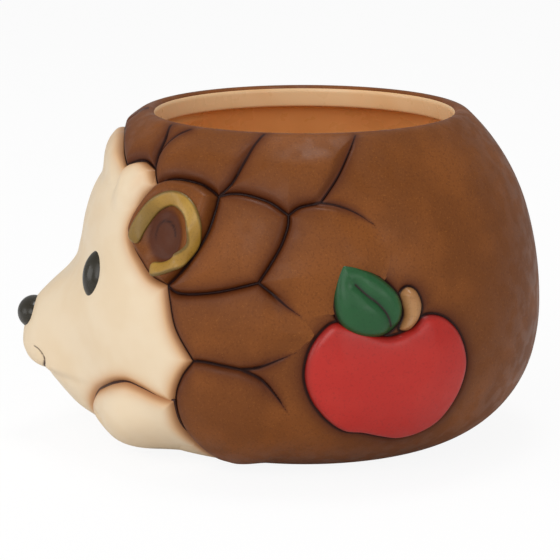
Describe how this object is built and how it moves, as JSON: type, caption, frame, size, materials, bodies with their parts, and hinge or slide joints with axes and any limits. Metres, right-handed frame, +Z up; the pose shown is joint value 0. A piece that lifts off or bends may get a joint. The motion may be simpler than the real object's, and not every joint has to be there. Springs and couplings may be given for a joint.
{
  "type": "animal shaped planter",
  "caption": "Round ceramic cachepot shaped like a hedgehog, with overlapping quill plates, cream face, gold rimmed ears and a red apple in relief.",
  "frame": {"origin": "middle of the overall width and length, on the surface that the pot stands on", "axes": "+X the animal's left side, with the apple; -Y the way the face looks; +Z up, along the mouth"},
  "size_m": [0.1979, 0.2159, 0.1363],
  "materials": {
    "brown_coat": "airbrushed warm brown, satin glaze, darker in the grooves",
    "cream_face": "cream satin glaze with soft orange brown shading at the edges",
    "black_glaze": "near black satin glaze",
    "gold_lustre": "old gold satin glaze",
    "red_glaze": "red satin glaze with a darker edge",
    "green_glaze": "green satin glaze, lighter on the crests",
    "stem_glaze": "tan satin glaze"
  },
  "bodies": {
    "root": {"pot_shell": "brown_coat", "head": "cream_face", "nose": "black_glaze", "eye_left": "black_glaze", "ear_left": "brown_coat", "ear_rim_left": "gold_lustre", "tuft_left": "cream_face", "paw_left": "cream_face", "brow_plate_left": "brown_coat", "crown_plate_left": "brown_coat", "crown_rear_plate_left": "brown_coat", "shoulder_plate_left": "brown_coat", "back_plate_left": "brown_coat", "cheek_plate_left": "brown_coat", "chest_plate_left": "brown_coat", "eye_right": "black_glaze", "ear_right": "brown_coat", "ear_rim_right": "gold_lustre", "tuft_right": "cream_face", "paw_right": "cream_face", "brow_plate_right": "brown_coat", "crown_plate_right": "brown_coat", "crown_rear_plate_right": "brown_coat", "shoulder_plate_right": "brown_coat", "back_plate_right": "brown_coat", "cheek_plate_right": "brown_coat", "chest_plate_right": "brown_coat", "tuft_centre": "cream_face", "apple": "red_glaze", "apple_leaf": "green_glaze", "apple_stem": "stem_glaze"}
  },
  "joints": []
}
